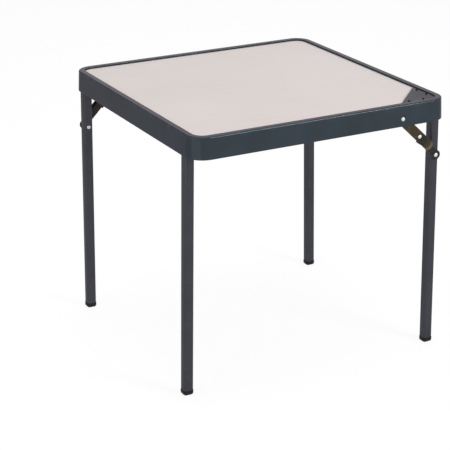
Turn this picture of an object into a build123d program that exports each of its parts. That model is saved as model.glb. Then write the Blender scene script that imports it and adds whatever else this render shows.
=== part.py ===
from build123d import *
import math
import os

# Folding camping table, in millimetres.
# The origin is on the floor under the middle of the table. +X runs right along the front
# rim, +Y runs to the back and +Z is up. The leg frame on the right is built first, and the
# one on the left is the same frame, turned half a turn about the vertical.

# Table top
table_side = 420.0
table_height = 400.0
rim_height = 32.3
rim_draft = 1.5
rim_wall = 1.6
rim_corner_radius = 27.5
rim_edge_radius = 2.2
rim_top_width = 9.9
rim_lip_radius = 0.8
rim_bead_depth = 2.4
rim_bead_height = 2.4
rim_bead_radius = 0.7
rim_slot_depth = 3.9
ledge_thickness = 1.4
board_thickness = 4.0
board_recess = 3.0
board_edge_gap = 0.2
lip_gap = 0.1

# Corner plate on the board at the front right
plate_leg = 67.0
plate_edge_gap = 0.15
plate_sink = 1.5
plate_chamfer = 0.9
plate_tip_radius = 1.2
plate_hole_end_gap = 18.0
plate_hole_pitch = 25.0
plate_hole_inset = 5.6
plate_screw_head_radius = 1.6
plate_screw_head_height = 1.4
plate_screw_radius = 1.0
plate_screw_bite = 3.0
screw_fit = 0.05

# Leg frames
pivot_drop = 21.0
leg_bead_gap = 1.85
leg_past_corner = 3.0
leg_nest_gap = 2.0
foot_spread = 6.5
leg_side = 15.2
leg_wall = 1.1
leg_corner_radius = 4.2
leg_head = 3.4
cross_setback = 0.75
cross_wall = 1.2
plug_cap = 1.2
plug_stem = 8.0
plug_edge_radius = 0.8
plug_fit = 0.05
foot_wall = 0.5
foot_height = 7.0
foot_sole = 3.0
foot_edge_radius = 3.2
foot_overrun = 0.2

# Saddle clips that carry the cross tubes
clip_leg_distance = 49.0
clip_width = 20.0
clip_wall = 1.8
clip_bore_fit = 0.06
clip_flange = 16.0
clip_flange_thickness = 3.2
clip_edge_gap = 0.2
clip_edge_radius = 1.0
clip_screw_spacing = 10.0
clip_screw_radius = 1.45
clip_screw_head_radius = 2.8
clip_screw_head_height = 1.6
clip_screw_bite = 3.2

# Locking stays
stay_arm = 69.3
stay_offset = 0.9
link_width = 15.0
link_waist = 11.0
link_thickness = 1.8
link_tail = 30.0
link_tail_chamfer = 4.6
link_play = 0.2
stack_gap = 0.8
tab_start = 5.0
tab_length = 6.0
tab_clearance = 0.22
leg_washer_thickness = 1.6
leg_washer_radius = 5.5
bush_radius = 5.0
spacer_radius = 5.5
rivet_radius = 2.4
rivet_fit = 0.05
rivet_head_radius = 3.3
rim_head_height = 1.9
elbow_head_height = 1.8
leg_head_height = 1.6
rivet_tail_radius = 3.0
link_tail_height = 1.3
leg_tail_height = 1.2

# Places worked out from the sizes above
half_side = table_side / 2
rim_bottom = table_height - rim_height
rim_slope = rim_draft / rim_height
lip_reach = rim_draft + rim_top_width
inner_edge = half_side - lip_reach
board_top = table_height - board_recess
board_bottom = board_top - board_thickness
ledge_bottom = board_bottom - ledge_thickness
board_half = half_side - rim_slot_depth - board_edge_gap
plate_thickness = board_recess - plate_sink
plate_hole_far = plate_leg - plate_hole_end_gap
plate_hole_near = plate_hole_far - plate_hole_pitch
leg_half = leg_side / 2
foot_side = leg_side + 2 * foot_wall
pivot_x = half_side - rim_bead_depth - leg_bead_gap - leg_half
pivot_height = table_height - pivot_drop
foot_x = pivot_x + foot_spread
outer_leg_y = half_side - rim_corner_radius + leg_past_corner
inner_leg_y = outer_leg_y - leg_side - leg_nest_gap
cross_radius = leg_half - cross_setback
clip_y = inner_leg_y - clip_leg_distance
splay = math.atan2(foot_x - pivot_x, pivot_height)
leg_length = pivot_height / math.cos(splay)
down_leg = Vector(math.sin(splay), 0, -math.cos(splay))
across_leg = Vector(math.cos(splay), 0, math.sin(splay))
fold_angle = 90 + math.degrees(splay)

# The stay's three rivets, seen from the front
upper_rivet = Vector(pivot_x - stay_arm, 0, pivot_height)
lower_rivet = Vector(pivot_x, 0, pivot_height) + down_leg * stay_arm
stay_line = lower_rivet - upper_rivet
toward_pivot = Vector(-stay_line.Z, 0, stay_line.X).normalized()
elbow = (upper_rivet + lower_rivet) * 0.5 + toward_pivot * stay_offset
link_length = (elbow - upper_rivet).length
elbow_kink = 2 * math.atan2(stay_offset, stay_line.length / 2)

# Layers of the stay, as distances out from the middle of the table
leg_face = outer_leg_y + leg_half
lower_inside = leg_face + leg_washer_thickness + link_play
lower_outside = lower_inside + link_thickness
upper_inside = lower_outside + leg_head_height + stack_gap + link_tail_height
upper_outside = upper_inside + link_thickness
rivet_hole = rivet_radius + rivet_fit

os.makedirs("parts", exist_ok=True)


def save(piece, name):
    """Label one finished piece and write it as its own file."""
    piece.label = name
    export_step(piece, f"parts/{name}.step")


def save_pair(piece, right_name, left_name):
    """Write a piece of the right frame, and its twin half a turn round on the left."""
    save(piece, right_name)
    save(piece.rotate(Axis.Z, 180), left_name)


def rim_reach(height, depth):
    """How far out the rim's wall stands at a height, measured depth into the wall."""
    return half_side - depth - rim_slope * (height - rim_bottom)


def rim_section(plane):
    """Section of the rim: wall, top, lip over the board, ledge under it and bottom bead."""
    lip_bottom = rim_height - board_recess + lip_gap
    ledge_top = rim_height - board_recess - board_thickness
    ledge_under = ledge_top - ledge_thickness
    with BuildSketch(plane) as section:
        with BuildLine():
            Polyline(
                (0, 0),
                (rim_draft, rim_height),
                (lip_reach, rim_height),
                (lip_reach, lip_bottom),
                (rim_slot_depth, lip_bottom),
                (rim_slot_depth, ledge_top),
                (lip_reach, ledge_top),
                (lip_reach, ledge_under),
                (rim_wall + rim_slope * ledge_under, ledge_under),
                (rim_wall + rim_slope * rim_bead_height, rim_bead_height),
                (rim_bead_depth, rim_bead_height),
                (rim_bead_depth, 0),
                close=True,
            )
        make_face()
        top_outer, top_inner = section.vertices().group_by(Axis.Y)[-1].sort_by(Axis.X)
        fillet(top_outer, radius=rim_edge_radius)
        fillet(top_inner, radius=rim_lip_radius)
        fillet(section.vertices().group_by(Axis.Y)[0], radius=rim_bead_radius)
    return section.sketch


def leg_plane(leg_y, distance):
    """Plane square to a right-hand leg, at a distance down it from the pivot."""
    origin = Vector(pivot_x, leg_y, pivot_height) + down_leg * distance
    return Plane(origin=origin, x_dir=across_leg, z_dir=down_leg)


def front_plane(place, reach, x_dir=(1, 0, 0)):
    """Plane facing the back of the table, at a distance out in front of its middle."""
    return Plane(origin=(place.X, -reach, place.Z), x_dir=x_dir, z_dir=(0, 1, 0))


def dome_shoulder(radius, height):
    """Point halfway down a spherical dome, as a radius and a height above its seat."""
    sphere = (radius**2 + height**2) / (2 * height)
    half_angle = math.asin(radius / sphere) / 2
    return sphere * math.sin(half_angle), height - sphere + sphere * math.cos(half_angle)


def rivet_outline(place, reach, head, grip, tail):
    """Half of a rivet's outline on a plane through its axis, which runs along Y.

    The head's seat is at a distance out from the middle of the table. The head and the
    tail are each given as a radius and a height, and either may have no height.
    """
    head_radius, head_height = head
    tail_radius, tail_height = tail
    plane = Plane(origin=(place.X, -reach, place.Z), x_dir=(1, 0, 0), z_dir=(0, 0, 1))
    with BuildSketch(plane) as outline:
        with BuildLine():
            Line((0, -head_height), (0, grip + tail_height))
            if head_height > 0:
                across, rise = dome_shoulder(head_radius, head_height)
                ThreePointArc((0, -head_height), (across, -rise), (head_radius, 0))
            Line((head_radius, 0), (rivet_radius, 0))
            Line((rivet_radius, 0), (rivet_radius, grip))
            Line((rivet_radius, grip), (tail_radius, grip))
            if tail_height > 0:
                across, rise = dome_shoulder(tail_radius, tail_height)
                ThreePointArc((tail_radius, grip), (across, grip + rise), (0, grip + tail_height))
        make_face()
    return outline.sketch


def rivet_axis(place):
    """Axis of a rivet, along Y."""
    return Axis((place.X, 0, place.Z), (0, 1, 0))


def plate_holes():
    """Centres of the four holes of the corner plate."""
    near = inner_edge - plate_hole_near
    far = inner_edge - plate_hole_far
    edge = inner_edge - plate_hole_inset
    return [(edge, -far), (edge, -near), (near, -edge), (far, -edge)]


def clip_screw_places():
    """Centres of the clips' screws, two for each clip."""
    screw_x = pivot_x - cross_radius - clip_bore_fit - clip_wall - clip_flange / 2
    places = []
    for side_x in (screw_x, -screw_x):
        for side_y in (clip_y, -clip_y):
            for step in (-clip_screw_spacing / 2, clip_screw_spacing / 2):
                places.append((side_x, side_y + step))
    return places


# Rim: four straight runs and four corners of one section
with BuildPart() as rim_frame:
    run = 2 * (half_side - rim_corner_radius)
    centre = half_side - rim_corner_radius
    for quarter in range(4):
        turn = 90 * quarter
        inward = Vector(-1, 0, 0).rotate(Axis.Z, turn)
        along = Vector(0, 1, 0).rotate(Axis.Z, turn)
        start = Vector(half_side, -centre, rim_bottom).rotate(Axis.Z, turn)
        corner = Vector(centre, centre, rim_bottom).rotate(Axis.Z, turn)
        section = rim_section(Plane(origin=start, x_dir=inward, z_dir=along))
        extrude(section, amount=run)
        section = rim_section(Plane(origin=start + along * run, x_dir=inward, z_dir=along))
        revolve(section, axis=Axis(corner, (0, 0, 1)), revolution_arc=90)
    for turn in (0, 180):
        place = Vector(upper_rivet.X, -half_side, upper_rivet.Z).rotate(Axis.Z, turn)
        inward = Vector(0, 1, 0).rotate(Axis.Z, turn)
        with BuildSketch(Plane(origin=place, x_dir=(1, 0, 0), z_dir=inward)):
            Circle(rivet_hole)
        extrude(amount=rim_wall + rim_draft, mode=Mode.SUBTRACT)
save(rim_frame.part, "rim_frame")

# Board, held in the rim's slot all round
with BuildPart() as table_board:
    with BuildSketch(Plane.XY.offset(board_bottom)):
        RectangleRounded(2 * board_half, 2 * board_half, rim_corner_radius - rim_slot_depth)
    extrude(amount=board_thickness)
    with BuildSketch(Plane.XY.offset(board_top)):
        with Locations(*plate_holes()):
            Circle(plate_screw_radius + screw_fit)
    extrude(amount=-plate_screw_bite, mode=Mode.SUBTRACT)
    with BuildSketch(Plane.XY.offset(board_bottom)):
        with Locations(*clip_screw_places()):
            Circle(clip_screw_radius + screw_fit)
    extrude(amount=clip_screw_bite, mode=Mode.SUBTRACT)
save(table_board.part, "table_board")

# Corner plate: a triangle over the board's corner, a little lower than the rim
with BuildPart() as corner_plate:
    plate_edge = inner_edge - plate_edge_gap
    with BuildSketch(Plane.XY.offset(board_top)) as outline:
        with BuildLine():
            Polyline(
                (plate_edge, -plate_edge),
                (plate_edge, -plate_edge + plate_leg),
                (plate_edge - plate_leg, -plate_edge),
                close=True,
            )
        make_face()
        tip = outline.vertices().sort_by_distance((plate_edge, -plate_edge, 0))
        fillet(tip[0], radius=rim_corner_radius - lip_reach - plate_edge_gap)
        fillet(outline.vertices().sort_by(Axis.X)[0], radius=plate_tip_radius)
        fillet(outline.vertices().sort_by(Axis.Y)[-1], radius=plate_tip_radius)
    extrude(amount=plate_thickness)
    slant = corner_plate.edges().group_by(Axis.Z)[-1].sort_by(Edge.length)[-1]
    chamfer(slant, length=plate_chamfer)
    with BuildSketch(Plane.XY.offset(board_top)):
        with Locations(*plate_holes()):
            Circle(plate_screw_radius + screw_fit)
    extrude(amount=plate_thickness, mode=Mode.SUBTRACT)
save(corner_plate.part, "corner_plate")

# Four small screws through the corner plate, with heads that stand on it
with BuildPart() as corner_plate_screws:
    with BuildSketch(Plane.XY.offset(board_top + plate_thickness)):
        with Locations(*plate_holes()):
            Circle(plate_screw_head_radius)
    extrude(amount=plate_screw_head_height)
    with BuildSketch(Plane.XY.offset(board_top - plate_screw_bite)):
        with Locations(*plate_holes()):
            Circle(plate_screw_radius)
    extrude(amount=plate_screw_bite + plate_thickness)
save(corner_plate_screws.part, "corner_plate_screws")

# Saddle clips: a closed bearing for the cross tube, with a flange screwed to the board
for clip_name, left_name, place_y in (
    ("right_front_clip", "left_rear_clip", -clip_y),
    ("right_rear_clip", "left_front_clip", clip_y),
):
    with BuildPart() as saddle_clip:
        shell = cross_radius + clip_bore_fit + clip_wall
        clip_plane = Plane(
            origin=(pivot_x, place_y - clip_width / 2, pivot_height),
            x_dir=(1, 0, 0),
            z_dir=(0, -1, 0),
        )
        board_level = board_bottom - pivot_height
        ledge_level = ledge_bottom - clip_edge_gap - pivot_height
        flange_level = board_level - clip_flange_thickness
        step_x = inner_edge - clip_edge_gap - pivot_x
        with BuildSketch(clip_plane):
            with BuildLine():
                Polyline(
                    (-shell, 0),
                    (-shell, flange_level),
                    (-shell - clip_flange, flange_level),
                    (-shell - clip_flange, board_level),
                    (step_x, board_level),
                    (step_x, ledge_level),
                    (shell, ledge_level),
                    (shell, 0),
                )
                ThreePointArc((shell, 0), (0, -shell), (-shell, 0))
            make_face()
            Circle(cross_radius + clip_bore_fit, mode=Mode.SUBTRACT)
        extrude(amount=-clip_width)
        flange_end = saddle_clip.edges().filter_by(Axis.Z).group_by(Axis.X)[0]
        fillet(flange_end, radius=clip_edge_radius)
        with BuildSketch(Plane.XY.offset(board_bottom)):
            with Locations(*clip_screw_places()):
                Circle(clip_screw_radius + screw_fit)
        extrude(amount=-clip_flange_thickness, mode=Mode.SUBTRACT)
    save_pair(saddle_clip.part, clip_name, left_name)

# Screws of the four clips
with BuildPart() as clip_screws:
    flange_under = board_bottom - clip_flange_thickness
    with BuildSketch(Plane.XY.offset(flange_under - clip_screw_head_height)):
        with Locations(*clip_screw_places()):
            Circle(clip_screw_head_radius)
    extrude(amount=clip_screw_head_height)
    with BuildSketch(Plane.XY.offset(flange_under)):
        with Locations(*clip_screw_places()):
            Circle(clip_screw_radius)
    extrude(amount=clip_flange_thickness + clip_screw_bite)
save(clip_screws.part, "clip_screws")

# Legs: square tubes with round corners, splayed a little outwards
tube_end = leg_length - foot_sole
for leg_name, twin_name, leg_y, is_stayed in (
    ("right_front_leg", "left_rear_leg", -outer_leg_y, True),
    ("right_rear_leg", "left_front_leg", inner_leg_y, False),
):
    bore_side = leg_side - 2 * leg_wall
    with BuildPart() as leg:
        with BuildSketch(leg_plane(leg_y, -leg_head)):
            RectangleRounded(leg_side, leg_side, leg_corner_radius)
            RectangleRounded(
                bore_side, bore_side, leg_corner_radius - leg_wall, mode=Mode.SUBTRACT
            )
        extrude(amount=leg_head + tube_end)
        if is_stayed:
            with BuildSketch(front_plane(lower_rivet, leg_face)):
                Circle(rivet_hole)
            extrude(amount=leg_side, mode=Mode.SUBTRACT)
    save_pair(leg.part, leg_name, twin_name)

    with BuildPart() as top_plug:
        stem_side = bore_side - 2 * plug_fit
        with BuildSketch(leg_plane(leg_y, -leg_head)):
            RectangleRounded(leg_side, leg_side, leg_corner_radius)
        extrude(amount=-plug_cap)
        with BuildSketch(leg_plane(leg_y, -leg_head)):
            RectangleRounded(stem_side, stem_side, leg_corner_radius - leg_wall - plug_fit)
        extrude(amount=plug_stem)
        crown = top_plug.faces().sort_by(Axis.Z)[-1]
        fillet(crown.edges(), radius=plug_edge_radius)
    save_pair(top_plug.part, f"{leg_name}_plug", f"{twin_name}_plug")

    with BuildPart() as foot:
        with BuildSketch(leg_plane(leg_y, leg_length - foot_height)):
            RectangleRounded(foot_side, foot_side, leg_corner_radius + foot_wall)
        extrude(amount=foot_height + foot_overrun)
        sole = foot.faces().sort_by(Axis.Z)[0]
        fillet(sole.edges(), radius=foot_edge_radius)
        with BuildSketch(leg_plane(leg_y, leg_length - foot_height)):
            socket = leg_side + 2 * plug_fit
            RectangleRounded(socket, socket, leg_corner_radius + plug_fit)
        extrude(amount=foot_height - foot_sole, mode=Mode.SUBTRACT)
        split(bisect_by=Plane.XY, keep=Keep.TOP)
    save_pair(foot.part, leg_name.replace("leg", "foot"), twin_name.replace("leg", "foot"))

# Cross tube: joins the two legs of a frame and turns in the clips
with BuildPart() as cross_tube:
    tube_start = -outer_leg_y + leg_half
    tube_stop = inner_leg_y - leg_half
    with BuildSketch(Plane(origin=(pivot_x, tube_start, pivot_height), z_dir=(0, 1, 0))):
        Circle(cross_radius)
        Circle(cross_radius - cross_wall, mode=Mode.SUBTRACT)
    extrude(amount=tube_stop - tube_start)
save_pair(cross_tube.part, "right_cross_tube", "left_cross_tube")

# Upper link of the stay, with a tail past the elbow and a bent tab that stops the lower link
with BuildPart() as upper_link:
    upper_way = (elbow - upper_rivet).normalized()
    upper_plane = front_plane(upper_rivet, upper_outside, x_dir=upper_way)
    tab_middle = link_length + tab_start + tab_length / 2
    lower_edge = link_waist / 2 / math.cos(elbow_kink)
    tab_drift = (tab_start + tab_length) * math.tan(elbow_kink)
    tab_inside = lower_edge + tab_drift + tab_clearance
    with BuildSketch(upper_plane) as upper_outline:
        body_length = link_length + link_tail
        with Locations((body_length / 2, 0)):
            Rectangle(body_length, link_width)
        tail_corners = upper_outline.vertices().group_by(Axis.X)[-1]
        chamfer(tail_corners, length=link_tail_chamfer)
        Circle(link_width / 2)
        ear_width = tab_inside - link_width / 2 + link_thickness
        with Locations((tab_middle, link_width / 2 + ear_width / 2)):
            Rectangle(tab_length, ear_width)
        with Locations((0, 0), (link_length, 0)):
            Circle(rivet_hole, mode=Mode.SUBTRACT)
    extrude(amount=link_thickness)
    with BuildSketch(upper_plane):
        with Locations((tab_middle, tab_inside + link_thickness / 2)):
            Rectangle(tab_length, link_thickness)
    extrude(amount=upper_outside - lower_inside)
save_pair(upper_link.part, "right_upper_link", "left_upper_link")

# Lower link of the stay, slimmer than the eye that it has at the leg
with BuildPart() as lower_link:
    lower_way = (elbow - lower_rivet).normalized()
    with BuildSketch(front_plane(lower_rivet, lower_outside, x_dir=lower_way)):
        with Locations((link_length / 2, 0)):
            SlotCenterToCenter(link_length, link_waist)
        Circle(link_width / 2)
        with Locations((0, 0), (link_length, 0)):
            Circle(rivet_hole, mode=Mode.SUBTRACT)
    extrude(amount=link_thickness)
save_pair(lower_link.part, "right_lower_link", "left_lower_link")

# Rivet that hangs the upper link on the rim
with BuildPart() as rim_rivet:
    rim_seat = rim_reach(upper_rivet.Z - rivet_head_radius, 0)
    outline = rivet_outline(
        upper_rivet,
        rim_seat,
        (rivet_head_radius, rim_head_height),
        rim_seat - upper_inside,
        (rivet_tail_radius, link_tail_height),
    )
    revolve(outline, axis=rivet_axis(upper_rivet))
save_pair(rim_rivet.part, "right_rim_rivet", "left_rim_rivet")

# Bush between the rim's wall and the upper link
with BuildPart() as rim_bush:
    bush_outside = rim_reach(upper_rivet.Z + bush_radius, rim_wall)
    with BuildSketch(front_plane(upper_rivet, bush_outside)):
        Circle(bush_radius)
        Circle(rivet_hole, mode=Mode.SUBTRACT)
    extrude(amount=bush_outside - upper_outside - link_play)
save_pair(rim_bush.part, "right_rim_bush", "left_rim_bush")

# Elbow rivet, and the spacer that it holds between the two links
with BuildPart() as elbow_rivet:
    outline = rivet_outline(
        elbow,
        upper_outside,
        (rivet_head_radius, elbow_head_height),
        upper_outside - lower_outside - link_play,
        (0, 0),
    )
    revolve(outline, axis=rivet_axis(elbow))
save_pair(elbow_rivet.part, "right_elbow_rivet", "left_elbow_rivet")

with BuildPart() as elbow_spacer:
    with BuildSketch(front_plane(elbow, upper_inside)):
        Circle(spacer_radius)
        Circle(rivet_hole, mode=Mode.SUBTRACT)
    extrude(amount=upper_inside - lower_outside - link_play)
save_pair(elbow_spacer.part, "right_elbow_spacer", "left_elbow_spacer")

# Closing head of the elbow rivet, on the inside of the lower link
with BuildPart() as elbow_rivet_tail:
    outline = rivet_outline(
        elbow,
        lower_outside,
        (0, 0),
        link_thickness,
        (rivet_tail_radius, link_tail_height),
    )
    revolve(outline, axis=rivet_axis(elbow))
save_pair(elbow_rivet_tail.part, "right_elbow_rivet_tail", "left_elbow_rivet_tail")

# Rivet through the leg, with the washer that keeps the lower link off it
with BuildPart() as leg_rivet:
    outline = rivet_outline(
        lower_rivet,
        lower_outside,
        (rivet_head_radius, leg_head_height),
        lower_outside - leg_face + leg_side,
        (rivet_tail_radius, leg_tail_height),
    )
    revolve(outline, axis=rivet_axis(lower_rivet))
save_pair(leg_rivet.part, "right_leg_rivet", "left_leg_rivet")

with BuildPart() as leg_washer:
    with BuildSketch(front_plane(lower_rivet, leg_face + leg_washer_thickness)):
        Circle(leg_washer_radius)
        Circle(rivet_hole, mode=Mode.SUBTRACT)
    extrude(amount=leg_washer_thickness)
save_pair(leg_washer.part, "right_leg_washer", "left_leg_washer")

folded_elbow = upper_rivet - Vector(link_length, 0, 0)
upper_turn = (folded_elbow - upper_rivet).get_angle(elbow - upper_rivet)
print("fold angle", round(fold_angle, 4), "link turn", round(upper_turn, 4))
print("pivot", (pivot_x, pivot_height), "upper rivet", upper_rivet, "lower rivet", lower_rivet)
print("elbow", elbow, "link length", round(link_length, 3))
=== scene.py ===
import bpy
import bmesh
import math
from mathutils import Matrix, Vector


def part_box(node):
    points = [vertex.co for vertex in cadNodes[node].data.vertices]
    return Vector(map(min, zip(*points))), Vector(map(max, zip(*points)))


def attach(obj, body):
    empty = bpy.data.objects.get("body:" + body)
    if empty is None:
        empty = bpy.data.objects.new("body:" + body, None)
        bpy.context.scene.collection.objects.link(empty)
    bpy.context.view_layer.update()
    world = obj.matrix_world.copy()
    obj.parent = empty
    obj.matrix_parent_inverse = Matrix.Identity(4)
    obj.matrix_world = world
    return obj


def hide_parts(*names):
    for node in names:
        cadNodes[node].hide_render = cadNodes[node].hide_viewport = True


# Small folding camping table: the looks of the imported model.
# Sizes in the settings are millimetres and degrees; the scene itself is in metres.
mm = 0.001
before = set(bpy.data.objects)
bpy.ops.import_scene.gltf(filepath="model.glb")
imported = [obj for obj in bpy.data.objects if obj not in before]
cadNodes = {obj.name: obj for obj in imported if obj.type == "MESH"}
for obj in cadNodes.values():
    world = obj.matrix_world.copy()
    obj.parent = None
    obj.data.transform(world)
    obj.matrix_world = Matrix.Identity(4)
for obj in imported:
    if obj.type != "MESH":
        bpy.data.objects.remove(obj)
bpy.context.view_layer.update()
print("frame loaded:", len(cadNodes), "nodes")

sides = ("right", "left")
ends = ("front", "rear")
white = (1.0, 1.0, 1.0, 1.0)
seamGap = 0.002 * mm    # corners nearer than this are one corner
sharpAngle = 38         # faces that meet at more than this keep a crisp edge
noiseSpan = (0.3, 0.7)  # where nearly all of a noise's values lie


# Helpers that every piece and finish shares

def inMetres(sizes):
    return tuple(size * mm for size in sizes)


def inRadians(angles):
    return tuple(math.radians(angle) for angle in angles)


def paint(red, green, blue):
    # A colour as a screen shows it, made linear for the shaders
    shares = [value / 255 for value in (red, green, blue)]
    return (*[s / 12.92 if s <= 0.04045 else ((s + 0.055) / 1.055) ** 2.4 for s in shares], 1.0)


def feed(tree, socket, value):
    # Gives a socket a plain value, or joins it to another node's output
    if isinstance(value, bpy.types.NodeSocket):
        tree.links.new(value, socket)
    else:
        socket.default_value = value


def addNode(tree, kind, inputs={}, **settings):
    node = tree.nodes.new(kind)
    for name, value in settings.items():
        setattr(node, name, value)
    for key, value in inputs.items():
        feed(tree, node.inputs[key], value)
    return node


def emptyTree(owner):
    owner.use_nodes = True
    owner.node_tree.nodes.clear()
    return owner.node_tree


def newPiece(name, mesh):
    piece = bpy.data.objects.new(name, mesh)
    bpy.context.scene.collection.objects.link(piece)
    return piece


def keepShape(piece):
    # Swaps a piece's live modifiers for the plain mesh that they make
    graph = bpy.context.evaluated_depsgraph_get()
    made = bpy.data.meshes.new_from_object(piece.evaluated_get(graph), depsgraph=graph)
    made.name = piece.name
    piece.modifiers.clear()
    piece.data = made


def seamless(mesh):
    # A work copy of a mesh in which corners that touch are one
    shape = bmesh.new()
    shape.from_mesh(mesh)
    bmesh.ops.remove_doubles(shape, verts=shape.verts, dist=seamGap)
    return shape


def settle(piece):
    # Closes seams, faces everything outwards, keeps flats flat and rounds smooth
    shape = seamless(piece.data)
    bmesh.ops.dissolve_degenerate(shape, edges=shape.edges, dist=seamGap)
    bmesh.ops.recalc_face_normals(shape, faces=shape.faces)
    shape.to_mesh(piece.data)
    shape.free()
    piece.data.shade_smooth()
    piece.data.set_sharp_from_angle(angle=math.radians(sharpAngle))
    weighted = piece.modifiers.new("even", "WEIGHTED_NORMAL")
    weighted.keep_sharp = True
    keepShape(piece)


def mount(piece, body, slot, *nodes):
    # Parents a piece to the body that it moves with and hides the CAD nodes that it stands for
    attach(piece, body)
    if nodes:
        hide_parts(*nodes)


def solidBoxes(node):
    # Lowest and highest corner of each separate solid in a CAD node, in order of X and then Y
    decimals = 4
    shape = seamless(cadNodes[node].data)
    left = set(shape.verts)
    boxes = []
    while left:
        queue = [left.pop()]
        island = list(queue)
        while queue:
            for edge in queue.pop().link_edges:
                for vert in edge.verts:
                    if vert in left:
                        left.remove(vert)
                        queue.append(vert)
                        island.append(vert)
        low = Vector([min(v.co[axis] for v in island) for axis in range(3)])
        high = Vector([max(v.co[axis] for v in island) for axis in range(3)])
        boxes.append((low, high))
    shape.free()
    return sorted(boxes, key=lambda box: (round(box[0].x, decimals), round(box[0].y, decimals)))


class Finish:
    # One material: its node tree, its shader and the object's own coordinates
    def __init__(self, name, **sockets):
        self.material = bpy.data.materials.new(name)
        self.tree = emptyTree(self.material)
        self.place = self.add("ShaderNodeTexCoord").outputs["Object"]
        self.shader = self.add("ShaderNodeBsdfPrincipled")
        self.add("ShaderNodeOutputMaterial", {"Surface": self.shader.outputs["BSDF"]})
        for label, value in sockets.items():
            self.set(label, value)

    def add(self, kind, inputs={}, **settings):
        return addNode(self.tree, kind, inputs, **settings)

    def set(self, label, value):
        feed(self.tree, self.shader.inputs[label], value)

    def stretched(self, scale=(1, 1, 1), shift=(0, 0, 0), turn=(0, 0, 0)):
        # Object coordinates, scaled per axis, shifted in millimetres and turned in degrees
        inputs = {
            "Vector": self.place,
            "Location": inMetres(shift),
            "Rotation": inRadians(turn),
            "Scale": scale,
        }
        return self.add("ShaderNodeMapping", inputs).outputs["Vector"]

    def noise(self, scale=1.0, detail=3.0, rough=0.55, place=None, distort=0.0):
        inputs = {
            "Vector": place or self.place,
            "Scale": scale,
            "Detail": detail,
            "Roughness": rough,
            "Distortion": distort,
        }
        return self.add("ShaderNodeTexNoise", inputs).outputs["Fac"]

    def reach(self, value, span, made=(0.0, 1.0)):
        # Maps a value from one span to another and holds it there
        inputs = {
            "Value": value,
            "From Min": span[0],
            "From Max": span[1],
            "To Min": made[0],
            "To Max": made[1],
        }
        return self.add("ShaderNodeMapRange", inputs).outputs["Result"]

    def maths(self, operation, first, second=0.0):
        node = self.add("ShaderNodeMath", {0: first, 1: second}, operation=operation)
        return node.outputs["Value"]

    def mix(self, share, first, second):
        # Inputs 6 and 7 are the node's two colours, and output 2 is the mixed one
        node = self.add("ShaderNodeMix", {"Factor": share, 6: first, 7: second}, data_type="RGBA")
        return node.outputs[2]

    def axis(self, name):
        return self.add("ShaderNodeSeparateXYZ", {"Vector": self.place}).outputs[name]

    def bump(self, height, depth, under=None):
        inputs = {"Height": height, "Distance": depth * mm}
        if under:
            inputs["Normal"] = under
        return self.add("ShaderNodeBump", inputs).outputs["Normal"]


class Tree:
    # A Geometry Nodes tree with named inputs for its sizes, its counts and its material
    def __init__(self, name, sizes, counts):
        self.group = bpy.data.node_groups.new(name, "GeometryNodeTree")
        self.socket("Geometry", "INPUT", "Geometry")
        for label in sizes:
            self.socket(label, "INPUT", "Float")
        for label in counts:
            self.socket(label, "INPUT", "Int")
        self.socket("Material", "INPUT", "Material")
        self.socket("Geometry", "OUTPUT", "Geometry")
        self.given = self.add("NodeGroupInput").outputs
        self.start = self.given["Geometry"]

    def socket(self, label, way, kind):
        self.group.interface.new_socket(label, in_out=way, socket_type="NodeSocket" + kind)

    def add(self, kind, inputs={}, **settings):
        return addNode(self.group, kind, inputs, **settings)

    def maths(self, operation, first, second=0.0):
        node = self.add("ShaderNodeMath", {0: first, 1: second}, operation=operation)
        return node.outputs["Value"]

    def point(self, x=0.0, y=0.0, z=0.0):
        return self.add("ShaderNodeCombineXYZ", {"X": x, "Y": y, "Z": z}).outputs["Vector"]

    def spot(self, radius, height):
        # A place on a section: the second coordinate of a section that is swept points down
        return self.point(radius, self.maths("MULTIPLY", height, -1))

    def line(self, start, end):
        node = self.add("GeometryNodeCurvePrimitiveLine", {"Start": start, "End": end})
        return node.outputs["Curve"]

    def bend(self, steps, start, middle, end):
        inputs = {"Resolution": steps, "Start": start, "Middle": middle, "End": end}
        return self.add("GeometryNodeCurveQuadraticBezier", inputs).outputs["Curve"]

    def circle(self, steps, radius):
        inputs = {"Resolution": steps, "Radius": radius}
        return self.add("GeometryNodeCurvePrimitiveCircle", inputs).outputs["Curve"]

    def swept(self, path, section, **inputs):
        inputs = {"Curve": path, "Profile Curve": section, **inputs}
        return self.add("GeometryNodeCurveToMesh", inputs).outputs["Mesh"]

    def turned(self, outline, steps):
        # Turns a section round the Z axis; the tiny hole left at each pole is merged shut
        core = 0.001 * mm
        quarters = 4
        ring = self.circle(self.maths("MULTIPLY", steps, quarters), core)
        inputs = {"Geometry": self.swept(ring, outline), "Distance": 3 * core}
        return self.add("GeometryNodeMergeByDistance", inputs).outputs["Geometry"]

    def moved(self, shape, **inputs):
        inputs = {"Geometry": shape, **inputs}
        return self.add("GeometryNodeTransform", inputs).outputs["Geometry"]

    def join(self, parts):
        node = self.add("GeometryNodeJoinGeometry")
        for part in reversed(parts):
            self.group.links.new(part, node.inputs["Geometry"])
        return node.outputs["Geometry"]

    def seated(self, shape, **inputs):
        # One copy of a shape on each point that the tree starts from
        inputs = {"Points": self.start, "Instance": shape, **inputs}
        return self.add("GeometryNodeInstanceOnPoints", inputs).outputs["Instances"]

    def finish(self, shape):
        # Every tree ends the same way, so that no instance is left in it
        real = self.add("GeometryNodeRealizeInstances", {"Geometry": shape})
        inputs = {"Geometry": real.outputs["Geometry"], "Material": self.given["Material"]}
        dressed = self.add("GeometryNodeSetMaterial", inputs)
        self.add("NodeGroupOutput", {"Geometry": dressed.outputs["Geometry"]})
        return self.group


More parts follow.
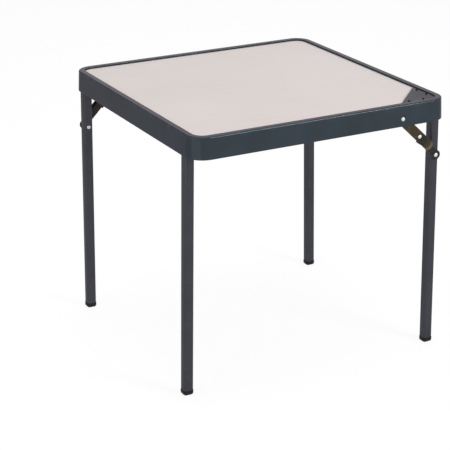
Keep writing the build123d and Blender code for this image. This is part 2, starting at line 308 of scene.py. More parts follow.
def runTree(name, group, points, edges, values):
    # Runs a tree on loose points or edges and keeps what it makes as a plain mesh
    start = bpy.data.meshes.new(name)
    start.from_pydata(points, edges, [])
    piece = newPiece(name, start)
    modifier = piece.modifiers.new("shape", "NODES")
    modifier.node_group = group
    for item in group.interface.items_tree:
        if item.in_out == "INPUT" and item.name in values:
            modifier[item.identifier] = values[item.name]
    keepShape(piece)
    settle(piece)
    return piece


# Finishes. Scales are per metre, and a span is the range of a noise in which a feature sets in

def coatFinish(name, look):
    # Powder coat: slight patches, a fine peel, and a dusty, rubbed look where it is handled
    finish = Finish(name, **{
        "Metallic": look["metal"],
        "Specular IOR Level": look["gloss"],
        "Specular Tint": look["edgeShine"],
    })
    patches = finish.reach(
        finish.noise(look["patchScale"], detail=4.0, rough=0.6), look["patchSpan"]
    )
    colour = finish.mix(patches, look["colour"], look["patchColour"])
    grain = finish.noise(look["grainScale"], detail=2.0)
    grains = finish.reach(grain, noiseSpan, (0.0, look["grainShare"]))
    colour = finish.mix(grains, colour, look["grainColour"])
    rubs = finish.reach(
        finish.noise(look["rubScale"], detail=6.0, rough=0.7, distort=0.4), look["rubSpan"]
    )
    band = finish.reach(finish.axis("Z"), inMetres(look["rubBand"]))
    rubbed = finish.maths("MULTIPLY", finish.maths("MULTIPLY", rubs, band), look["rubShare"])
    finish.set("Base Color", finish.mix(rubbed, colour, look["rubColour"]))
    gleam = finish.noise(look["gleamScale"])
    finish.set("Roughness", finish.reach(gleam, noiseSpan, look["roughness"]))
    peel = finish.bump(finish.noise(look["peelScale"], detail=2.0), look["peelDepth"])
    finish.set("Normal", finish.bump(grain, look["grainDepth"], under=peel))
    return finish.material


rimCoatLook = {
    "colour": paint(52, 60, 66),
    "patchColour": paint(58, 66, 73),
    "patchScale": 16,
    "patchSpan": (0.35, 0.68),
    "grainColour": paint(66, 74, 82),
    "grainScale": 1500,
    "grainShare": 0.22,
    "grainDepth": 0.006,
    "rubColour": paint(96, 101, 107),
    "rubScale": 60,
    "rubSpan": (0.52, 0.74),
    "rubShare": 0.32,
    "rubBand": (392, 399),      # heights at which the rubbing starts and is strongest
    "gleamScale": 30,
    "roughness": (0.2, 0.27),
    "peelScale": 520,
    "peelDepth": 0.012,
    "metal": 0.7,
    "gloss": 0.12,
    "edgeShine": (0.54, 0.49, 0.5, 1.0),
}
tubeCoatLook = {
    **rimCoatLook,
    "colour": paint(62, 63, 69),
    "patchColour": paint(68, 69, 76),
    "patchScale": 22,
    "grainColour": paint(76, 77, 84),
    "rubColour": paint(98, 98, 102),
    "rubShare": 0.3,
    "rubBand": (70, 12),
    "roughness": (0.22, 0.32),
    "metal": 0.6,
    "edgeShine": (0.5, 0.49, 0.5, 1.0),
}
plateCoatLook = {
    **rimCoatLook,
    "colour": paint(74, 73, 78),
    "patchColour": paint(82, 81, 86),
    "patchScale": 60,
    "grainColour": paint(111, 111, 114),
    "rubColour": paint(146, 146, 148),
    "rubShare": 0.28,
    "rubBand": (397.6, 398.5),
    "roughness": (0.34, 0.44),
    "metal": 0.6,
    "edgeShine": (0.35, 0.35, 0.36, 1.0),
}


def boardFinish(name, look):
    # Melamine board: faint streaks along the front rim, a dusting of fibres, a dull satin face
    finish = Finish(name, **{"Specular IOR Level": look["gloss"]})
    streaks = finish.noise(detail=4.0, rough=0.62, place=finish.stretched(look["streakScale"]))
    streaks = finish.reach(streaks, look["streakSpan"])
    colour = finish.mix(streaks, look["colour"], look["streakColour"])
    fibres = finish.noise(detail=5.0, rough=0.7, place=finish.stretched(look["fibreScale"]))
    threads = finish.reach(fibres, look["fibreSpan"], (0.0, look["fibreShare"]))
    colour = finish.mix(threads, colour, look["fibreColour"])
    clouds = finish.noise(look["cloudScale"], detail=2.0)
    clouds = finish.reach(clouds, noiseSpan, (0.0, look["cloudShare"]))
    finish.set("Base Color", finish.mix(clouds, colour, look["cloudColour"]))
    finish.set("Roughness", finish.reach(fibres, look["gleamSpan"], look["roughness"]))
    pores = finish.bump(finish.noise(look["poreScale"], detail=3.0), look["poreDepth"])
    finish.set("Normal", finish.bump(fibres, look["fibreDepth"], under=pores))
    return finish.material


boardLook = {
    "colour": paint(223, 214, 212),
    "streakColour": paint(219, 210, 207),
    "streakScale": (16, 320, 40),
    "streakSpan": (0.36, 0.64),
    "fibreColour": paint(192, 182, 177),
    "fibreScale": (260, 1200, 300),
    "fibreSpan": (0.56, 0.76),
    "fibreShare": 0.2,
    "fibreDepth": 0.01,
    "cloudColour": paint(227, 219, 218),
    "cloudScale": 7,
    "cloudShare": 0.5,
    "gleamSpan": (0.3, 0.75),
    "roughness": (0.76, 0.86),
    "poreScale": 1800,
    "poreDepth": 0.01,
    "gloss": 0.3,
}


def mixedBySpot(finish, colour, spotLook):
    # Mixes in another colour by the distance from a place in X and Z, for real wear and for
    # painted shade; both stays are alike
    across = finish.maths("ABSOLUTE", finish.axis("X"))
    here = finish.add("ShaderNodeCombineXYZ", {"X": across, "Z": finish.axis("Z")})
    x, z = inMetres(spotLook["from"])
    inputs = {0: here.outputs["Vector"], 1: (x, 0.0, z)}
    gap = finish.add("ShaderNodeVectorMath", inputs, operation="DISTANCE")
    share = finish.reach(gap.outputs["Value"], inMetres(spotLook["reach"]), spotLook["shares"])
    return finish.mix(share, colour, spotLook["colour"])


def stayFinish(name, look):
    # Yellow zinc plate gone dull: olive and brown clouds, drawn scratches, grease, wear, and
    # painted shade by the elbow
    finish = Finish(name, **{"Metallic": look["metal"]})
    clouds = finish.noise(look["cloudScale"], detail=5.0, rough=0.62, distort=0.6)
    clouded = finish.reach(clouds, look["cloudSpan"])
    colour = finish.mix(clouded, look["colour"], look["cloudColour"])
    shifted = finish.stretched(shift=look["stainShift"])
    stains = finish.noise(look["stainScale"], detail=4.0, rough=0.6, place=shifted)
    stains = finish.reach(stains, look["stainSpan"], (0.0, look["stainShare"]))
    colour = finish.mix(stains, colour, look["stainColour"])
    drawn = finish.stretched(look["scratchScale"], turn=look["scratchTurn"])
    scratches = finish.noise(detail=3.0, rough=0.7, place=drawn)
    lines = finish.reach(scratches, look["scratchSpan"], (0.0, look["scratchShare"]))
    colour = finish.mix(lines, colour, look["bareColour"])
    # The spots lay real wear and grease, and painted shade by the upper stay's elbow
    for spotLook in look["wearAndShadeSpots"]:
        colour = mixedBySpot(finish, colour, spotLook)
    finish.set("Base Color", colour)
    finish.set("Roughness", finish.reach(clouds, noiseSpan, look["roughness"]))
    finish.set("Normal", finish.bump(scratches, look["scratchDepth"]))
    return finish.material


upperStayLook = {
    "colour": paint(42, 40, 30),
    "cloudColour": paint(70, 63, 43),
    "cloudScale": 120,
    "cloudSpan": (0.36, 0.62),
    "stainColour": paint(66, 44, 30),
    "stainScale": 46,
    "stainShift": (0, 0, 13),
    "stainSpan": (0.5, 0.66),
    "stainShare": 0.7,
    "bareColour": paint(150, 140, 116),
    "scratchScale": (90, 2000, 1400),
    "scratchTurn": (0, 45, 0),
    "scratchSpan": (0.58, 0.75),
    "scratchShare": 0.35,
    "scratchDepth": 0.012,
    "wearAndShadeSpots": [
        # Painted shade by the elbow: a dark patch on the tail where the link lies in shadow
        {
            "colour": paint(31, 29, 27),
            "from": (169.0, 338.0),
            "reach": (6.5, 14.0),
            "shares": (0.78, 0.0),
        },
        # Plate worn through at the end that is farthest from the rim's rivet
        {
            "colour": paint(104, 94, 76),
            "from": (128.85, 379.0),
            "reach": (72.5, 75.5),
            "shares": (0.0, 0.7),
        },
    ],
    "roughness": (0.56, 0.36),
    "metal": 0.7,
}
lowerStayLook = {
    **upperStayLook,
    "colour": paint(31, 29, 28),
    "cloudColour": paint(47, 40, 36),
    "stainColour": paint(52, 34, 32),
    "stainShare": 0.6,
    "bareColour": paint(96, 88, 78),
    "scratchShare": 0.22,
    "wearAndShadeSpots": [
        # Old grease round the leg's rivet
        {
            "colour": paint(30, 34, 33),
            "from": (199.3, 309.7),
            "reach": (4.0, 11.0),
            "shares": (0.7, 0.0),
        },
    ],
}


def metalFinish(name, look):
    # Plated metal of rivets, screws and washers: hairline scratches and small dull spots
    finish = Finish(name, **{"Metallic": look["metal"], "Specular Tint": look["edgeShine"]})
    spots = finish.noise(look["spotScale"], detail=4.0, rough=0.65)
    dulled = finish.reach(spots, look["spotSpan"], (0.0, look["spotShare"]))
    finish.set("Base Color", finish.mix(dulled, look["colour"], look["spotColour"]))
    finish.set("Roughness", finish.reach(spots, noiseSpan, look["roughness"]))
    hairlines = finish.noise(detail=2.0, place=finish.stretched(look["hairScale"]))
    finish.set("Normal", finish.bump(hairlines, look["hairDepth"]))
    return finish.material


rivetLook = {
    "colour": paint(206, 212, 217),
    "spotColour": paint(150, 152, 154),
    "spotScale": 420,
    "spotSpan": (0.48, 0.7),
    "spotShare": 0.5,
    "roughness": (0.26, 0.4),
    "hairScale": (900, 900, 4200),
    "hairDepth": 0.006,
    "metal": 1.0,
    "edgeShine": white,
}
blackScrewLook = {
    **rivetLook,
    "colour": paint(26, 25, 27),
    "spotColour": paint(46, 42, 40),
    "spotShare": 0.6,
    "roughness": (0.4, 0.55),
    "edgeShine": (0.15, 0.15, 0.15, 1.0),
}
zincScrewLook = {
    **rivetLook,
    "colour": paint(188, 189, 192),
    "spotColour": paint(140, 139, 136),
    "roughness": (0.3, 0.48),
}


def mouldedFinish(name, look):
    # Moulded plastic or rubber: fine spark grain, and dust towards one end of a height band
    finish = Finish(name, **{"Specular IOR Level": look["gloss"]})
    mottle = finish.noise(look["mottleScale"], detail=3.0)
    mottled = finish.reach(mottle, look["mottleSpan"])
    colour = finish.mix(mottled, look["colour"], look["mottleColour"])
    band = finish.reach(finish.axis("Z"), inMetres(look["dustBand"]))
    specks = finish.noise(look["dustScale"], detail=6.0, rough=0.72)
    specks = finish.reach(specks, look["dustSpan"])
    dust = finish.maths("MULTIPLY", finish.maths("MULTIPLY", specks, band), look["dustShare"])
    finish.set("Base Color", finish.mix(dust, colour, look["dustColour"]))
    finish.set("Roughness", finish.reach(mottle, noiseSpan, look["roughness"]))
    grain = finish.noise(look["grainScale"], detail=3.0, rough=0.6)
    finish.set("Normal", finish.bump(grain, look["grainDepth"]))
    return finish.material


footLook = {
    "colour": paint(30, 30, 33),
    "mottleColour": paint(37, 36, 39),
    "mottleScale": 90,
    "mottleSpan": (0.35, 0.65),
    "dustColour": paint(96, 92, 88),
    "dustScale": 500,
    "dustSpan": (0.42, 0.7),
    "dustShare": 0.55,
    "dustBand": (5.0, 0.3),     # heights at which the dust starts and is thickest
    "roughness": (0.55, 0.7),
    "grainScale": 1500,
    "grainDepth": 0.03,
    "gloss": 0.12,
}
nylonLook = {
    **footLook,
    "colour": paint(31, 31, 33),
    "mottleColour": paint(39, 39, 42),
    "dustShare": 0.25,
    "dustBand": (392.0, 372.0),
    "roughness": (0.42, 0.56),
    "grainScale": 1900,
    "grainDepth": 0.018,
}

rimCoat = coatFinish("slateRimCoat", rimCoatLook)
tubeCoat = coatFinish("slateTubeCoat", tubeCoatLook)
plateCoat = coatFinish("greyPlateCoat", plateCoatLook)
boardFace = boardFinish("paleBoardLaminate", boardLook)
upperStayZinc = stayFinish("upperStayZinc", upperStayLook)
lowerStayZinc = stayFinish("lowerStayZinc", lowerStayLook)
rivetZinc = metalFinish("brightRivetZinc", rivetLook)
blackOxide = metalFinish("blackScrewOxide", blackScrewLook)
screwZinc = metalFinish("screwZinc", zincScrewLook)
footRubber = mouldedFinish("footRubber", footLook)
clipNylon = mouldedFinish("clipNylon", nylonLook)
print("finishes ready")


# Rim: one section swept round the table's rounded square

rimSettings = {
    "draft": 1.5,
    "wall": 1.6,
    "cornerRadius": 27.5,
    "cornerSteps": 20,
    "topWidth": 9.9,
    "edgeRadius": 2.2,
    "lipRadius": 0.8,
    "lipBottom": 29.4,      # heights are from the rim's lower edge
    "slotDepth": 3.9,
    "ledgeTop": 25.3,
    "ledgeUnder": 23.9,
    "ledgeRadius": 0.3,
    "ledgeRoot": 0.5,
    "beadDepth": 2.4,
    "beadRadius": 0.7,
    "arcSteps": 8,
}


def roundedOutline(corners, steps):
    # Points of a closed outline; each corner is its place and its radius
    outline = []
    for index, (x, y, radius) in enumerate(corners):
        here = Vector((x, y))
        if not radius:
            outline.append(here)
            continue
        back = (Vector(corners[index - 1][:2]) - here).normalized()
        ahead = (Vector(corners[(index + 1) % len(corners)][:2]) - here).normalized()
        half = back.angle(ahead) / 2
        centre = here + (back + ahead).normalized() * (radius / math.sin(half))
        first = here + back * (radius / math.tan(half)) - centre
        last = here + ahead * (radius / math.tan(half)) - centre
        begin = math.atan2(first.y, first.x)
        sweep = (math.atan2(last.y, last.x) - begin + math.pi) % (2 * math.pi) - math.pi
        for step in range(steps + 1):
            angle = begin + sweep * step / steps
            outline.append(centre + radius * Vector((math.cos(angle), math.sin(angle))))
    return outline


def rimTree():
    # Sweeps the section that it is given round a rounded square
    tree = Tree("sweptRim", ["Side", "Corner Radius", "Bottom"], ["Corner Steps"])
    side = tree.given["Side"]
    square = tree.add("GeometryNodeCurvePrimitiveQuadrilateral", {"Width": side, "Height": side})
    inputs = {
        "Curve": square.outputs["Curve"],
        "Count": tree.given["Corner Steps"],
        "Radius": tree.given["Corner Radius"],
    }
    rounded = tree.add("GeometryNodeFilletCurve", inputs, mode="POLY")
    section = tree.add("GeometryNodeMeshToCurve", {"Mesh": tree.start})
    ring = tree.swept(rounded.outputs["Curve"], section.outputs["Curve"])
    return tree.finish(tree.moved(ring, Translation=tree.point(z=tree.given["Bottom"])))


def makeRim(s):
    # The section's corners are how far in and how high they are from its lower outside edge
    low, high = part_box("rim_frame")
    height = (high.z - low.z) / mm
    slope = s["draft"] / height
    lipReach = s["draft"] + s["topWidth"]
    corners = [
        (0, 0, s["beadRadius"]),
        (s["draft"], height, s["edgeRadius"]),
        (lipReach, height, s["lipRadius"]),
        (lipReach, s["lipBottom"], 0),
        (s["slotDepth"], s["lipBottom"], 0),
        (s["slotDepth"], s["ledgeTop"], 0),
        (lipReach, s["ledgeTop"], s["ledgeRadius"]),
        (lipReach, s["ledgeUnder"], s["ledgeRadius"]),
        (s["wall"] + slope * s["ledgeUnder"], s["ledgeUnder"], s["ledgeRoot"]),
        (s["wall"] + slope * s["beadDepth"], s["beadDepth"], 0),
        (s["beadDepth"], s["beadDepth"], 0),
        (s["beadDepth"], 0, s["beadRadius"]),
    ]
    outline = roundedOutline(corners, s["arcSteps"])
    points = [(-spot.x * mm, -spot.y * mm, 0) for spot in outline]
    edges = [(index, (index + 1) % len(points)) for index in range(len(points))]
    values = {
        "Side": 2 * high.x,
        "Corner Radius": s["cornerRadius"] * mm,
        "Corner Steps": s["cornerSteps"],
        "Bottom": low.z,
        "Material": rimCoat,
    }
    rim = runTree("rim_shell", rimTree(), points, edges, values)
    mount(rim, "table_top", "rim_coating", "rim_frame")


makeRim(rimSettings)
print("rim swept")


# Rivets: domed head, shank and rolled tail, set where the frame has them

rivetSettings = {
    "shankRadius": 2.4,
    "headRadius": 3.3,
    "tailRadius": 3.0,
    "domeShare": 0.86,      # how far out the head's dome stays high
    "rollShare": 0.55,      # where the rolled tail is thickest
    "dishShare": 0.6,       # how steeply the tail's hollow falls in
    "dimple": 0.55,
    "steps": 9,
    "kinds": {
        "rim_rivet": {"head": 1.9, "tail": 1.3, "body": "table_top"},
        "elbow_rivet": {"head": 1.8, "tail": 0, "body": "{side}_stay_upper"},
        "elbow_rivet_tail": {"head": 0, "tail": 1.3, "body": "{side}_stay_lower"},
        "leg_rivet": {"head": 1.6, "tail": 1.2, "body": "{side}_leg_frame"},
    },
}


def rivetTree(s):
    sizes = [
        "Head Radius", "Head Height", "Shank Radius", "Grip",
        "Tail Radius", "Tail Height", "Dimple",
    ]
    tree = Tree("rivet", sizes, ["Steps"])
    head, rise, shank, grip, tail, drop, dimple = [tree.given[size] for size in sizes]
    steps = tree.given["Steps"]
    gripEnd = tree.maths("MULTIPLY", grip, -1)
    tailEnd = tree.maths("SUBTRACT", gripEnd, drop)
    dome = tree.maths("MULTIPLY", head, s["domeShare"])
    roll = tree.maths("MULTIPLY", tail, s["rollShare"])
    dish = tree.maths("MULTIPLY", roll, s["dishShare"])
    floor = tree.maths("ADD", tailEnd, tree.maths("MULTIPLY", drop, dimple))

    headEdge = tree.spot(head, 0.0)
    neck = tree.spot(shank, 0.0)
    neckEnd = tree.spot(shank, gripEnd)
    tailEdge = tree.spot(tail, gripEnd)
    rolled = tree.spot(roll, tailEnd)
    outline = tree.join([
        tree.bend(steps, tree.spot(0.0, rise), tree.spot(dome, rise), headEdge),
        tree.line(headEdge, neck),
        tree.line(neck, neckEnd),
        tree.line(neckEnd, tailEdge),
        tree.bend(steps, tailEdge, tree.spot(tail, tailEnd), rolled),
        tree.bend(steps, rolled, tree.spot(dish, tailEnd), tree.spot(0.0, floor)),
    ])

    # The heads face away from the middle of the table, along Y
    place = tree.add("GeometryNodeInputPosition").outputs["Position"]
    sideways = tree.add("ShaderNodeSeparateXYZ", {"Vector": place}).outputs["Y"]
    inputs = {"Vector": tree.point(y=sideways)}
    outwards = tree.add("FunctionNodeAlignRotationToVector", inputs, axis="Z")
    body = tree.turned(outline, steps)
    return tree.finish(tree.seated(body, Rotation=outwards.outputs["Rotation"]))


def makeRivets(s):
    group = rivetTree(s)
    for kind, form in s["kinds"].items():
        seats = {}
        for side in sides:
            low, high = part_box(f"{side}_{kind}")
            outside = low.y if side == "right" else high.y
            underHead = outside + math.copysign(form["head"] * mm, -outside)
            seat = Vector(((low.x + high.x) / 2, underHead, (low.z + high.z) / 2))
            grip = high.y - low.y - (form["head"] + form["tail"]) * mm
            seats.setdefault(form["body"].format(side=side), []).append((side, seat, grip))
        for body, places in seats.items():
            values = {
                "Head Radius": (s["headRadius"] if form["head"] else s["shankRadius"]) * mm,
                "Head Height": form["head"] * mm,
                "Shank Radius": s["shankRadius"] * mm,
                "Grip": places[0][2],
                "Tail Radius": (s["tailRadius"] if form["tail"] else s["shankRadius"]) * mm,
                "Tail Height": form["tail"] * mm,
                "Dimple": s["dimple"],
                "Steps": s["steps"],
                "Material": rivetZinc,
            }
            name = f"{kind}s_of_{body}"
            piece = runTree(name, group, [seat for side, seat, grip in places], [], values)
            mount(piece, body, "rivet_steel", *[f"{side}_{kind}" for side, seat, grip in places])


makeRivets(rivetSettings)
print("rivets set")


# Screws: cross recess cut into the head, each one left at its own angle

screwSettings = {
    "steps": 7,
    "bulge": 0.92,          # how far out the head's crown stays high
    "pointShare": 0.8,      # length of the point, in shank radii
    "kinds": {
        "corner_plate_screws": {
            "headRadius": 1.6,
            "headHeight": 1.4,
            "shankRadius": 1.0,
            "crownShare": 0.4,
            "recessLength": 1.9,
            "recessWidth": 0.5,
            "recessDepth": 0.7,
            "flip": 0,
            "seed": 3,
            "finish": blackOxide,
            "slot": "dark_screw",
        },
        "clip_screws": {
            "headRadius": 2.8,
            "headHeight": 1.6,
            "shankRadius": 1.45,
            "crownShare": 0.6,
            "recessLength": 3.2,
            "recessWidth": 0.75,
            "recessDepth": 1.0,
            "flip": 180,
            "seed": 8,
            "finish": screwZinc,
            "slot": "zinc_screw",
        },
    },
}


def screwTree(s):
    sizes = [
        "Head Radius", "Head Height", "Shank Radius", "Length", "Crown Share",
        "Recess Length", "Recess Width", "Recess Depth", "Flip",
    ]
    tree = Tree("screw", sizes, ["Steps", "Seed"])
    head, rise, shank, length, crown, long, narrow, deep, flip = [
        tree.given[size] for size in sizes
    ]
    steps = tree.given["Steps"]
    shoulder = tree.maths("MULTIPLY", rise, tree.maths("SUBTRACT", 1.0, crown))
    end = tree.maths("SUBTRACT", rise, length)
    taper = tree.maths("ADD", end, tree.maths("MULTIPLY", shank, s["pointShare"]))
    bulge = tree.maths("MULTIPLY", head, s["bulge"])

    brim = tree.spot(head, shoulder)
    headEdge = tree.spot(head, 0.0)
    neck = tree.spot(shank, 0.0)
    neckEnd = tree.spot(shank, taper)
    outline = tree.join([
        tree.bend(steps, tree.spot(0.0, rise), tree.spot(bulge, rise), brim),
        tree.line(brim, headEdge),
        tree.line(headEdge, neck),
        tree.line(neck, neckEnd),
        tree.line(neckEnd, tree.spot(0.0, end)),
    ])

    # Two crossed bars, centred on the top of the head, cut the recess
    body = tree.turned(outline, steps)
    cut = tree.add("GeometryNodeMeshBoolean", {0: body}, operation="DIFFERENCE", solver="EXACT")
    for width, breadth in ((long, narrow), (narrow, long)):
        size = tree.point(width, breadth, tree.maths("MULTIPLY", deep, 2))
        bar = tree.add("GeometryNodeMeshCube", {"Size": size}).outputs["Mesh"]
        tree.group.links.new(tree.moved(bar, Translation=tree.point(z=rise)), cut.inputs[1])
    facing = tree.moved(cut.outputs["Mesh"], Rotation=tree.point(x=flip))

    # A cross looks the same again after a quarter turn; inputs 2 and 3 are least and most
    inputs = {2: 0.0, 3: math.pi / 2, "Seed": tree.given["Seed"]}
    chance = tree.add("FunctionNodeRandomValue", inputs, data_type="FLOAT")
    return tree.finish(tree.seated(facing, Rotation=tree.point(z=chance.outputs[1])))


def makeScrews(s):
    group = screwTree(s)
    for node, form in s["kinds"].items():
        boxes = solidBoxes(node)
        rise = form["headHeight"] * mm
        seats = []
        for low, high in boxes:
            level = low.z + rise if form["flip"] else high.z - rise
            seats.append(((low.x + high.x) / 2, (low.y + high.y) / 2, level))
        values = {
            "Head Radius": form["headRadius"] * mm,
            "Head Height": rise,
            "Shank Radius": form["shankRadius"] * mm,
            "Length": boxes[0][1].z - boxes[0][0].z,
            "Crown Share": form["crownShare"],
            "Recess Length": form["recessLength"] * mm,
            "Recess Width": form["recessWidth"] * mm,
            "Recess Depth": form["recessDepth"] * mm,
            "Flip": math.radians(form["flip"]),
            "Steps": s["steps"],
            "Seed": form["seed"],
            "Material": form["finish"],
        }
        piece = runTree(node + "_cut", group, seats, [], values)
        mount(piece, "table_top", form["slot"], node)


makeScrews(screwSettings)
print("screws driven")


# Welds: a rippled bead part way round each cross tube, where it meets a leg

weldSettings = {
    "beadRadius": 1.0,
    "ripples": 24,
    "rippleDepth": 0.14,
    "endTaper": 30,         # how quickly the bead thickens from its ends
    "endThickness": 0.25,
    "steps": 96,
    "sectionSteps": 10,
    "gapAngle": 112,
    "turn": (90, -90, 0),   # round the tube, with the gap at the top, under the board
    "inset": 0.25,
}


def weldTree(s):
    sizes = ["Tube Radius", "Bead Radius", "Ripples", "Ripple Depth", "Gap Share"]
    tree = Tree("weldBead", sizes, ["Steps", "Section Steps"])
    tube, bead, ripples, depth, gap = [tree.given[size] for size in sizes]
    half = tree.maths("MULTIPLY", gap, 0.5)
    inputs = {
        "Curve": tree.circle(tree.given["Steps"], tube),
        "Start": half,
        "End": tree.maths("SUBTRACT", 1.0, half),
    }
    arc = tree.add("GeometryNodeTrimCurve", inputs, mode="FACTOR").outputs["Curve"]
    along = tree.add("GeometryNodeSplineParameter").outputs["Factor"]
    turns = tree.maths("MULTIPLY", along, tree.maths("MULTIPLY", ripples, 2 * math.pi))
    wave = tree.maths("MULTIPLY", tree.maths("SINE", turns), depth)
    nearEnd = tree.maths("MULTIPLY", along, tree.maths("SUBTRACT", 1.0, along))
    swell = tree.maths("MINIMUM", tree.maths("MULTIPLY", nearEnd, s["endTaper"]), 1.0)
    swell = tree.maths("MAXIMUM", swell, s["endThickness"])
    thick = tree.maths("MULTIPLY", tree.maths("ADD", 1.0, wave), swell)
    section = tree.circle(tree.given["Section Steps"], bead)
    body = tree.swept(arc, section, **{"Scale": thick, "Fill Caps": True})
    return tree.finish(tree.seated(tree.moved(body, Rotation=inRadians(s["turn"]))))


def makeWelds(s):
    group = weldTree(s)
    for side in sides:
        low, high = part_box(f"{side}_cross_tube")
        x, z = (low.x + high.x) / 2, (low.z + high.z) / 2
        values = {
            "Tube Radius": (high.x - low.x) / 2,
            "Bead Radius": s["beadRadius"] * mm,
            "Ripples": s["ripples"],
            "Ripple Depth": s["rippleDepth"],
            "Gap Share": s["gapAngle"] / 360,
            "Steps": s["steps"],
            "Section Steps": s["sectionSteps"],
            "Material": tubeCoat,
        }
        points = [(x, low.y + s["inset"] * mm, z), (x, high.y - s["inset"] * mm, z)]
        piece = runTree(f"{side}_weld_beads", group, points, [], values)
        mount(piece, f"{side}_leg_frame", "tube_coating")


makeWelds(weldSettings)
print("welds laid")


# Pressed, sheared and moulded pieces: the CAD shapes with their edges broken

flatAngle = 0.5     # faces that meet at less than this are one face
edgeAngle = 40      # faces that meet at more than this get a broken edge
edgeSettings = {
    "upper_link": {"width": 0.28, "steps": 2, "finish": upperStayZinc, "slot": "stay_steel"},
    "lower_link": {"width": 0.28, "steps": 2, "finish": lowerStayZinc, "slot": "stay_steel"},
    "leg_washer": {"width": 0.25, "steps": 2, "finish": screwZinc, "slot": "rivet_steel"},
    "rim_bush": {"width": 0.3, "steps": 2, "finish": screwZinc, "slot": "rivet_steel"},
    "elbow_spacer": {"width": 0.3, "steps": 2, "finish": screwZinc, "slot": "rivet_steel"},
    "corner_plate": {"width": 0.3, "steps": 3, "finish": plateCoat, "slot": "plate_coating"},
    "clip": {"width": 0.45, "steps": 3, "finish": clipNylon, "slot": "clip_nylon"},
}


def softened(node, body, s):
    # Copies a CAD piece, joins its loose triangles into faces and breaks its sharp edges
    source = cadNodes[node].data
    mesh = bpy.data.meshes.new(node + "_eased")
    mesh.from_pydata([v.co for v in source.vertices], [], [p.vertices[:] for p in source.polygons])
    shape = seamless(mesh)
    flat = math.radians(flatAngle)
    bmesh.ops.dissolve_limit(shape, angle_limit=flat, verts=shape.verts, edges=shape.edges)
    shape.to_mesh(mesh)
    shape.free()
    piece = newPiece(node + "_eased", mesh)
    mesh.materials.append(s["finish"])
    edges = piece.modifiers.new("edges", "BEVEL")
    edges.width = s["width"] * mm
    edges.segments = s["steps"]
    edges.limit_method = "ANGLE"
    edges.angle_limit = math.radians(edgeAngle)
    edges.use_clamp_overlap = True
    keepShape(piece)
    settle(piece)
    mount(piece, body, s["slot"], node)


for side in sides:
    softened(f"{side}_upper_link", f"{side}_stay_upper", edgeSettings["upper_link"])
    softened(f"{side}_lower_link", f"{side}_stay_lower", edgeSettings["lower_link"])
    softened(f"{side}_leg_washer", f"{side}_leg_frame", edgeSettings["leg_washer"])
    softened(f"{side}_elbow_spacer", f"{side}_stay_upper", edgeSettings["elbow_spacer"])
    softened(f"{side}_rim_bush", "table_top", edgeSettings["rim_bush"])
    for end in ends:
        softened(f"{side}_{end}_clip", "table_top", edgeSettings["clip"])
softened("corner_plate", "table_top", edgeSettings["corner_plate"])
print("stays, clips, washers and corner plate eased")


# CAD pieces whose shape is right as it is get their finish

def dress(node, finish):
    for slot in cadNodes[node].material_slots:
        slot.material = finish


dress("table_board", boardFace)
for side in sides:
    dress(f"{side}_cross_tube", tubeCoat)
    for end in ends:
        dress(f"{side}_{end}_leg", tubeCoat)
        dress(f"{side}_{end}_foot", footRubber)
        dress(f"{side}_{end}_leg_plug", clipNylon)
print("tubes, feet and board dressed")


# Stage: pale floor and backdrop, soft lamps and the camera

stageSettings = {
    "floorSize": 12000,
    "floorColour": (0.8, 0.8, 0.8, 1.0),
    "floorShadowShare": 0.16,
    "floorGlow": 0.87,
    "skyLight": 0.5,
    "focusHeight": 250,
    "lamps": {
        "keyStripbox": {
            "aim": (0.437, -0.819, 0.37),
            "distance": 2400,
            "size": (700, 450),
            "power": 22,
            "tint": (1.0, 0.99, 0.98),
        },
        "leftSoftbox": {
            "aim": (-0.85, -0.15, 0.5),
            "distance": 2600,
            "size": (1800, 900),
            "power": 9,
            "tint": (1.0, 0.985, 0.97),
        },
        "topSoftbox": {
            "aim": (0.05, 0.1, 0.99),
            "distance": 2400,
            "size": (1600, 1600),
            "power": 15,
            "tint": (1.0, 1.0, 1.0),
        },
        "backSoftbox": {
            "aim": (0.437, 0.824, 0.362),
            "distance": 2600,
            "size": (1700, 800),
            "power": 2.3,
            "tint": (1.0, 0.98, 0.96),
        },
        "cornerCard": {
            "aim": (-0.87, -0.46, -0.1),
            "distance": 1050,
            "size": (900, 280),
            "power": 0.45,
            "tint": (0.95, 0.98, 1.0),
        },
    },
}
cameraSettings = {
    "yaw": 27.95439,
    "pitch": 21.20442,
    "roll": 0.22967,
    "distance": 2342.80,
    "target": (-48.296, 5.882, 174.903),
    "lens": 120.335,
    "sensor": 36,
    "farthest": 100000,
}


def seenDirectly(tree):
    # 1 where the camera, a gloss or a clear piece looks straight at it, else 0
    path = addNode(tree, "ShaderNodeLightPath").outputs
    seen = path["Is Camera Ray"]
    for ray in ("Is Glossy Ray", "Is Transmission Ray"):
        either = addNode(tree, "ShaderNodeMath", {0: seen, 1: path[ray]}, operation="MAXIMUM")
        seen = either.outputs["Value"]
    return seen


def makeFloor(s):
    reach = s["floorSize"] * mm / 2
    corners = [(-reach, -reach, 0), (reach, -reach, 0), (reach, reach, 0), (-reach, reach, 0)]
    mesh = bpy.data.meshes.new("floor")
    mesh.from_pydata(corners, [], [(0, 1, 2, 3)])
    floor = newPiece("floor", mesh)
    material = bpy.data.materials.new("paleFloor")
    tree = emptyTree(material)
    plain = addNode(tree, "ShaderNodeBsdfDiffuse", {"Color": s["floorColour"]})
    share = s["floorShadowShare"]
    shadowed = addNode(tree, "ShaderNodeBsdfDiffuse", {"Color": (share, share, share, 1.0)})
    glow = addNode(tree, "ShaderNodeEmission", {"Strength": s["floorGlow"]})
    seen = addNode(tree, "ShaderNodeAddShader", {0: shadowed.outputs[0], 1: glow.outputs[0]})
    inputs = {0: seenDirectly(tree), 1: plain.outputs[0], 2: seen.outputs[0]}
    either = addNode(tree, "ShaderNodeMixShader", inputs)
    addNode(tree, "ShaderNodeOutputMaterial", {"Surface": either.outputs[0]})
    mesh.materials.append(material)


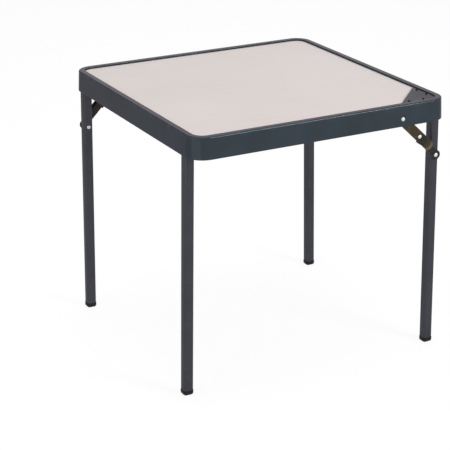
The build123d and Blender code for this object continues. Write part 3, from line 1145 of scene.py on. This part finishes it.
def makeBackdrop(s):
    world = bpy.data.worlds.new("whiteBackdrop")
    tree = emptyTree(world)
    light = addNode(tree, "ShaderNodeBackground", {"Color": white, "Strength": s["skyLight"]})
    shown = addNode(tree, "ShaderNodeBackground", {"Color": white, "Strength": 1.0})
    inputs = {0: seenDirectly(tree), 1: light.outputs[0], 2: shown.outputs[0]}
    either = addNode(tree, "ShaderNodeMixShader", inputs)
    addNode(tree, "ShaderNodeOutputWorld", {"Surface": either.outputs[0]})
    bpy.context.scene.world = world


def makeLamps(s):
    focus = Vector((0, 0, s["focusHeight"] * mm))
    for name, form in s["lamps"].items():
        lamp = bpy.data.lights.new(name, "AREA")
        lamp.shape = "RECTANGLE"
        lamp.size, lamp.size_y = inMetres(form["size"])
        lamp.energy = form["power"]
        lamp.color = form["tint"]
        holder = newPiece(name, lamp)
        holder.visible_camera = False
        way = Vector(form["aim"]).normalized()
        holder.location = focus + way * form["distance"] * mm
        holder.rotation_euler = way.to_track_quat("Z", "Y").to_euler()


def makeCamera(s):
    yaw, pitch, roll = inRadians(s[key] for key in ("yaw", "pitch", "roll"))
    flat = Vector((math.sin(yaw), math.cos(yaw), 0))
    ahead = flat * math.cos(pitch) - Vector((0, 0, math.sin(pitch)))
    level = Vector((math.cos(yaw), -math.sin(yaw), 0))
    down = ahead.cross(level)
    across = math.cos(roll) * level + math.sin(roll) * down
    below = math.cos(roll) * down - math.sin(roll) * level
    spot = Vector(s["target"]) * mm - ahead * s["distance"] * mm
    turn = Matrix((across, -below, -ahead)).transposed()
    lens = bpy.data.cameras.new("photoView")
    lens.lens = s["lens"]
    lens.sensor_width = s["sensor"]
    lens.clip_end = s["farthest"] * mm
    camera = newPiece("photoView", lens)
    camera.matrix_world = Matrix.Translation(spot) @ turn.to_4x4()
    bpy.context.scene.camera = camera


makeFloor(stageSettings)
makeBackdrop(stageSettings)
makeLamps(stageSettings)
makeCamera(cameraSettings)
bpy.context.scene.view_settings.view_transform = "Standard"
print("stage lit, camera in place")
